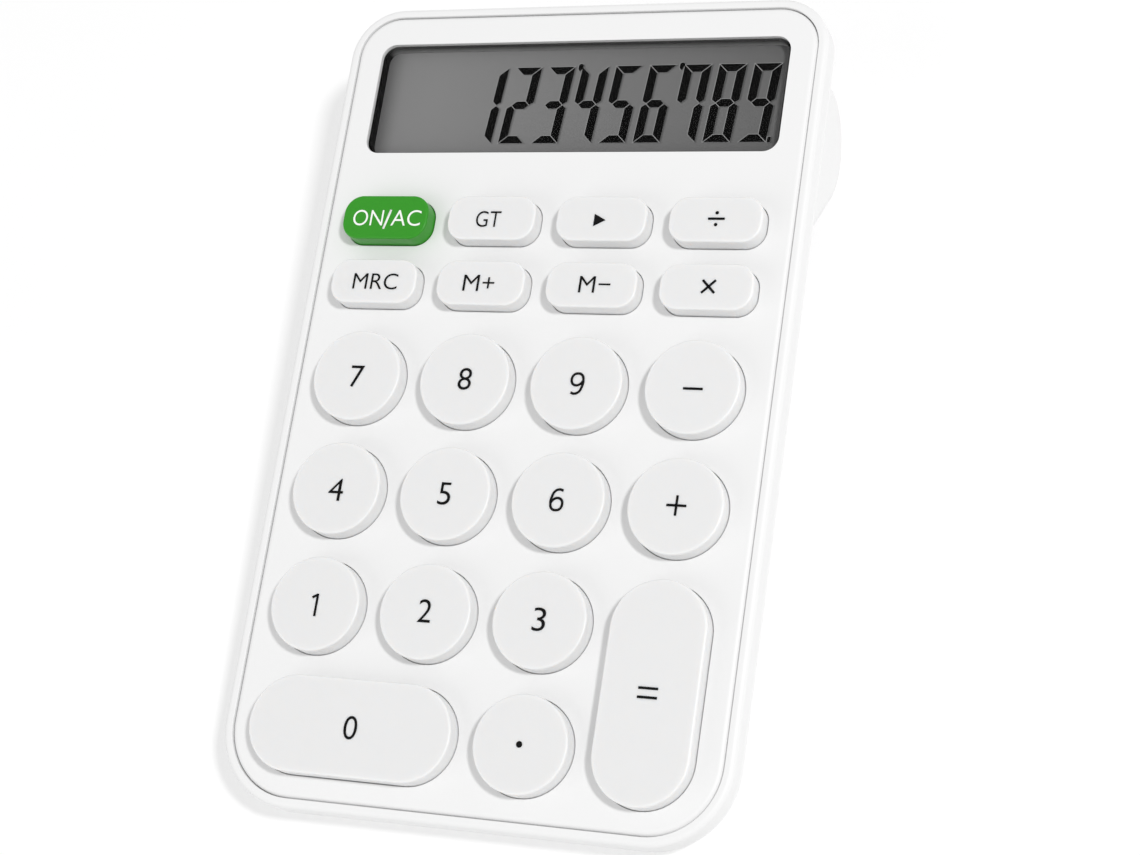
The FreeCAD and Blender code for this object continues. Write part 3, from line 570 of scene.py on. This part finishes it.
def pen_stroke(points, smooth):
    """Ink along a path through points in millimetres, either smoothly or from corner to corner."""
    nib = nib_profile(stroke * mm, ink_thickness)
    path = bpy.data.curves.new("pen", "CURVE")
    path.dimensions = "2D"
    path.fill_mode = "NONE"
    line = path.splines.new("BEZIER")
    line.bezier_points.add(len(points) - 1)
    for point, (x, y) in zip(line.bezier_points, points):
        point.co = (x * mm, y * mm, 0)
        point.handle_left_type = point.handle_right_type = "AUTO" if smooth else "VECTOR"
    path.resolution_u = 8
    path.bevel_mode = "OBJECT"
    path.bevel_object = nib
    path.use_fill_caps = True
    bm = curve_to_bmesh(path)
    profile = nib.data
    bpy.data.objects.remove(nib)
    bpy.data.curves.remove(profile)
    return bm


six = [(1.0, 1.72), (0.3, 1.92), (-0.5, 1.6), (-1.02, 0.55), (-1.13, -0.7), (-0.8, -1.62), (0.02, -1.92),
       (0.8, -1.62), (1.12, -0.78), (0.82, 0.06), (0.12, 0.33), (-0.62, 0.06), (-1.08, -0.5)]


def gather(parts):
    """Joins artwork into one bmesh; each part is moved by x and y millimetres."""
    whole = bmesh.new()
    for part, x, y in parts:
        bmesh.ops.translate(part, vec=(x * mm, y * mm, 0), verts=part.verts)
        spare = bpy.data.meshes.new("spare")
        part.to_mesh(spare)
        part.free()
        whole.from_mesh(spare)
        bpy.data.meshes.remove(spare)
    return whole


stem = pen_stroke([(0.3, 2.1), (0.3, -2.1)], smooth=False)
flag = pen_stroke([(-0.72, 1.35), (0.3, 1.9)], smooth=False)
slash = pen_stroke([(0.5, 1.95), (-0.5, -1.95)], smooth=False)
on_ac = [(lettering("ON", 6.3, capitals), -3.95, 0), (slash, 0.1, -0.3),
         (lettering("AC", 6.1, capitals), 4.05, 0)]
print_on_key("key_6", pen_stroke(six, smooth=True), (-0.1, -0.07), black_ink)
print_on_key("key_9", pen_stroke([(-x, -y) for x, y in six], smooth=True), (0.3, -0.22), black_ink)
print_on_key("key_1", gather([(stem, 0, 0), (flag, 0, 0)]), (0.1, -0.3), black_ink)
print_on_key("key_on_ac", gather(on_ac), (0.45, -0.2), white_ink)

# %% [markdown]
# ## The figures on the display
#
# A liquid crystal display draws each figure with seven segments. Their ends are cut at an angle so that
# they meet along mitres, and the whole figure leans. Each segment starts as a tile, and the tiles of a
# figure fit together without a gap. Only three tiles have their own shape; the other four are these three
# mirrored or turned upside down. A word of letters then says which tiles each figure lights.

# %% The seven tiles of a figure
cell_width = 5.5
cell_height = 16.1
cell_pitch = 6.88
upright = 1.84             # width of an upright tile
level_bar = 1.68           # height of the top and bottom tiles
middle_bar = 1.74          # height of the middle tile
side_cut = 0.62            # how far above the waist an upright tile's outer edge ends
lean = math.tan(math.radians(4.75))

waist = cell_height / 2
inner = cell_width - upright
tip = cell_width - upright / 2
side_tile = [(cell_width, cell_height), (inner, cell_height - level_bar), (inner, waist + middle_bar / 2),
             (tip, waist), (cell_width, waist + side_cut)]
top_tile = [(0, cell_height), (upright, cell_height - level_bar), (inner, cell_height - level_bar),
            (cell_width, cell_height)]
middle_tile = [(upright / 2, waist), (upright, waist - middle_bar / 2), (inner, waist - middle_bar / 2),
               (tip, waist), (inner, waist + middle_bar / 2), (upright, waist + middle_bar / 2)]


def mirrored(tile):
    """The tile seen in a mirror, left for right."""
    return [(cell_width - x, y) for x, y in tile]


def flipped(tile):
    """The tile upside down."""
    return [(x, cell_height - y) for x, y in tile]


tiles = {"a": top_tile, "b": side_tile, "c": flipped(side_tile), "d": flipped(top_tile),
         "e": mirrored(flipped(side_tile)), "f": mirrored(side_tile), "g": middle_tile}
lit = {"1": "bc", "2": "abged", "3": "abgcd", "4": "fgbc", "5": "afgcd", "6": "afgecd", "7": "fabc",
       "8": "abcdefg", "9": "abcdfg"}
print("tiles in a figure:", len(tiles))

# %% [markdown]
# ## A row of figures
#
# The figures are laid from the right, one cell after another, and each tile's corners are pushed right in
# step with their height, which makes the figure lean. Two small drops part the thousands, and a leaning
# square is the decimal point. The whole row stays flat for now, so that it can be laid more than once.

# %% Laying the figures along the row
window_middle = (window_low + window_high) / 2
last_cell = Vector((32.96, -8.55))        # foot of the rightmost figure, from the middle of the window
group_marks = ((-0.4, 7.55), (20.1, 7.45))
drop_radius, drop_shoulder = 0.6, -0.2    # the drop's tail starts below its shoulder
point_mark = (38.95, -8.0)
shown = "123456789"


def add_tile(bm, corners):
    """One flat face through corners in millimetres."""
    bm.faces.new([bm.verts.new((x * mm, y * mm, 0)) for x, y in corners])


def add_figures(bm, figures):
    """Adds the lit tiles of a row of figures, the last one in the rightmost cell."""
    for step, figure in enumerate(reversed(figures)):
        foot = last_cell.x - step * cell_pitch
        for name in lit[figure]:
            add_tile(bm, [(foot + x + lean * y, last_cell.y + y) for x, y in tiles[name]])


def add_group_mark(bm, x, y):
    """The small drop that parts the thousands: a dot whose lower side is drawn out into a tail."""
    made = bmesh.ops.create_circle(bm, cap_ends=True, segments=20, radius=drop_radius * mm)["verts"]
    for vert in made:
        below = vert.co.y - drop_shoulder * mm
        if below < 0:
            vert.co += Vector((-0.12 * mm, 1.2 * below, 0))
    bmesh.ops.translate(bm, vec=(x * mm, y * mm, 0), verts=made)


def display_artwork():
    """All the marks of the display as flat tiles."""
    bm = bmesh.new()
    add_figures(bm, shown)
    for x, y in group_marks:
        add_group_mark(bm, x, y)
    x, y = point_mark
    add_tile(bm, [(x - 0.45, y - 0.65), (x + 0.35, y - 0.65), (x + 0.45, y + 0.65), (x - 0.35, y + 0.65)])
    bmesh.ops.remove_doubles(bm, verts=bm.verts, dist=0.001 * mm)
    return bm


print("figures and marks:", len(shown), "and", len(group_marks) + 1)

# %% [markdown]
# ## The layers of the display
#
# The row is laid four times, one layer over another, each at most 0.02 mm thick. An inset takes a thin rim
# off every tile of the top layer, and what is left is the dark segment. The whole tiles lie just below in a
# lighter grey, and show as the clear lines that part the real electrodes. Under them are two darker greys of
# the film, each a little further to the right: a painted shadow that stands for the shade the segments throw
# on the reflector behind the glass. They are opaque, because light is counted out after a few see-through
# layers and would turn black.

# %% The layers of the display
clear_line = 0.07          # half the line between two dark segments


def display_piece(name, bm, shift, lift, thickness, material):
    """A layer of the display, shifted along it and lifted off its film, in millimetres."""
    thicken(bm, thickness * mm)
    place_on_face(bm, Vector((window_middle.x + shift[0] * mm, window_middle.y + shift[1] * mm,
                              film_top + lift * mm)))
    piece = mesh_piece(name, bm, material)
    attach(piece, "case")
    return piece


def crystal(name, dark, light):
    """A layer of the display: matt, and faintly mottled by the film over it."""
    material, tree = new_material(name)
    place = add(tree, "TexCoord").outputs["Object"]
    mottle = add(tree, "TexNoise", {"Vector": place, "Scale": 1 / (0.8 * mm), "Detail": 2.0})
    tone = add(tree, "MixRGB", {"Fac": mottle.outputs["Fac"], "Color1": linear(dark),
                                "Color2": linear(light)})
    shader = add(tree, "BsdfPrincipled", {"Base Color": tone.outputs["Color"], "Roughness": 0.6,
                                          "Specular IOR Level": 0.0})
    finish_material(tree, shader.outputs["BSDF"])
    return material


segment_dark = crystal("display_segment_dark", "0A0A0A", "121212")
segment_edge = crystal("display_clear_line", "A4A4A4", "9A9A9A")
# Two painted shadows of the figures: darker greys of the film.
near_shade = film_with_painted_shade("display_near_shade", window_low.x, "626262", "4C4C4C")
far_shade = film_with_painted_shade("display_far_shade", window_low.x, "767676", "5C5C5C")

segments = display_artwork()
rims = bmesh.ops.inset_individual(segments, faces=list(segments.faces), thickness=clear_line * mm,
                                  use_even_offset=True)["faces"]
bmesh.ops.delete(segments, geom=rims, context="FACES")
top_layer = display_piece("display_figures", segments, (0, 0), 0.03, 0.02, segment_dark)
display_piece("display_clear_lines", display_artwork(), (-0.05, 0.02), 0.022, 0.005, segment_edge)
# The painted shadow layers, laid a little to the right of the figures.
display_piece("display_near_shade", display_artwork(), (0.14, -0.04), 0.015, 0.004, near_shade)
display_piece("display_far_shade", display_artwork(), (0.32, -0.08), 0.008, 0.004, far_shade)
print("faces in the dark segments:", len(top_layer.data.polygons))

# %% [markdown]
# ## Floor
#
# The floor is a studio light table: a white sheet that glows a little from below, which keeps it white and
# the shadows on it faint.

# %% Floor
def light_table():
    """A white sheet, lit a little from below."""
    material, tree = new_material("studio_light_table")
    place = add(tree, "TexCoord").outputs["Object"]
    sheet = add(tree, "TexNoise", {"Vector": place, "Scale": 1 / (60 * mm), "Detail": 2.0})
    tone = add(tree, "MixRGB", {"Fac": sheet.outputs["Fac"], "Color1": linear("C6C6C6"),
                                "Color2": linear("C4C4C4")})
    shader = add(tree, "BsdfPrincipled", {"Base Color": tone.outputs["Color"], "Roughness": 0.9,
                                          "Specular IOR Level": 0.1,
                                          "Emission Color": linear("FFFFFF"), "Emission Strength": 0.42})
    finish_material(tree, shader.outputs["BSDF"])
    return material


floor_size = 4.0
floor_bm = bmesh.new()
bmesh.ops.create_grid(floor_bm, x_segments=1, y_segments=1, size=floor_size / 2)
floor = mesh_piece("floor", floor_bm, light_table())
print("floor, m:", floor_size)

# %% [markdown]
# ## Light
#
# A bright, even surround gives the soft fill that makes white plastic look white. One softbox, high on the
# right, throws the short shadows to the left of the keys. A wide one, low and to the user's left, brightens
# the sides that face away from the first.

# %% Light
scene = bpy.context.scene
scene.view_settings.view_transform = "Standard"
surround = bpy.data.worlds.new("soft_surround")
surround.use_nodes = True
surround.node_tree.nodes["Background"].inputs["Color"].default_value = linear("FFFFFF")
surround.node_tree.nodes["Background"].inputs["Strength"].default_value = 0.60
scene.world = surround


def softbox(name, azimuth, elevation, distance, size, power):
    """Square area light that points at the calculator; azimuth runs anticlockwise from +X, in degrees."""
    turn, rise = math.radians(azimuth), math.radians(elevation)
    towards = Vector((math.cos(turn) * math.cos(rise), math.sin(turn) * math.cos(rise), math.sin(rise)))
    lamp = bpy.data.lights.new(name, "AREA")
    lamp.size = size
    lamp.energy = power
    holder = bpy.data.objects.new(name, lamp)
    holder.location = towards * distance
    holder.rotation_euler = towards.to_track_quat("Z", "Y").to_euler()
    scene.collection.objects.link(holder)


softbox("key_softbox", azimuth=-2, elevation=55, distance=2.0, size=0.22, power=19)
softbox("left_softbox", azimuth=-140, elevation=30, distance=2.0, size=1.6, power=8)

# %% [markdown]
# ## Camera
#
# The camera looks down from the right at the leaning face, through a moderately long lens and with a little
# roll. Its three directions are worked out from its azimuth and elevation, and the roll turns two of them
# round the third. The axes of a camera are its right, its up and the way back from what it looks at.

# %% Camera
camera_target = Vector((9.87, -6.23, 17.17)) * mm
camera_distance = 421.0 * mm
camera_azimuth, camera_elevation, camera_roll = 44.83, 58.79, -37.97

turn, rise, roll = (math.radians(angle) for angle in (camera_azimuth, camera_elevation, camera_roll))
backward = Vector((math.sin(turn) * math.cos(rise), -math.cos(turn) * math.cos(rise), math.sin(rise)))
sideways = Vector((math.cos(turn), math.sin(turn), 0))
rolled_right = sideways * math.cos(roll) + backward.cross(sideways) * math.sin(roll)
rolled_up = backward.cross(rolled_right)

lens = bpy.data.cameras.new("camera")
lens.sensor_width = 36.0
lens.lens = 73.71
lens.clip_start = 0.01
camera = bpy.data.objects.new("camera", lens)
scene.collection.objects.link(camera)
camera.matrix_world = Matrix((rolled_right, rolled_up, backward)).transposed().to_4x4()
camera.location = camera_target + backward * camera_distance
scene.camera = camera
print("camera at, mm:", [round(value / mm, 1) for value in camera.location])
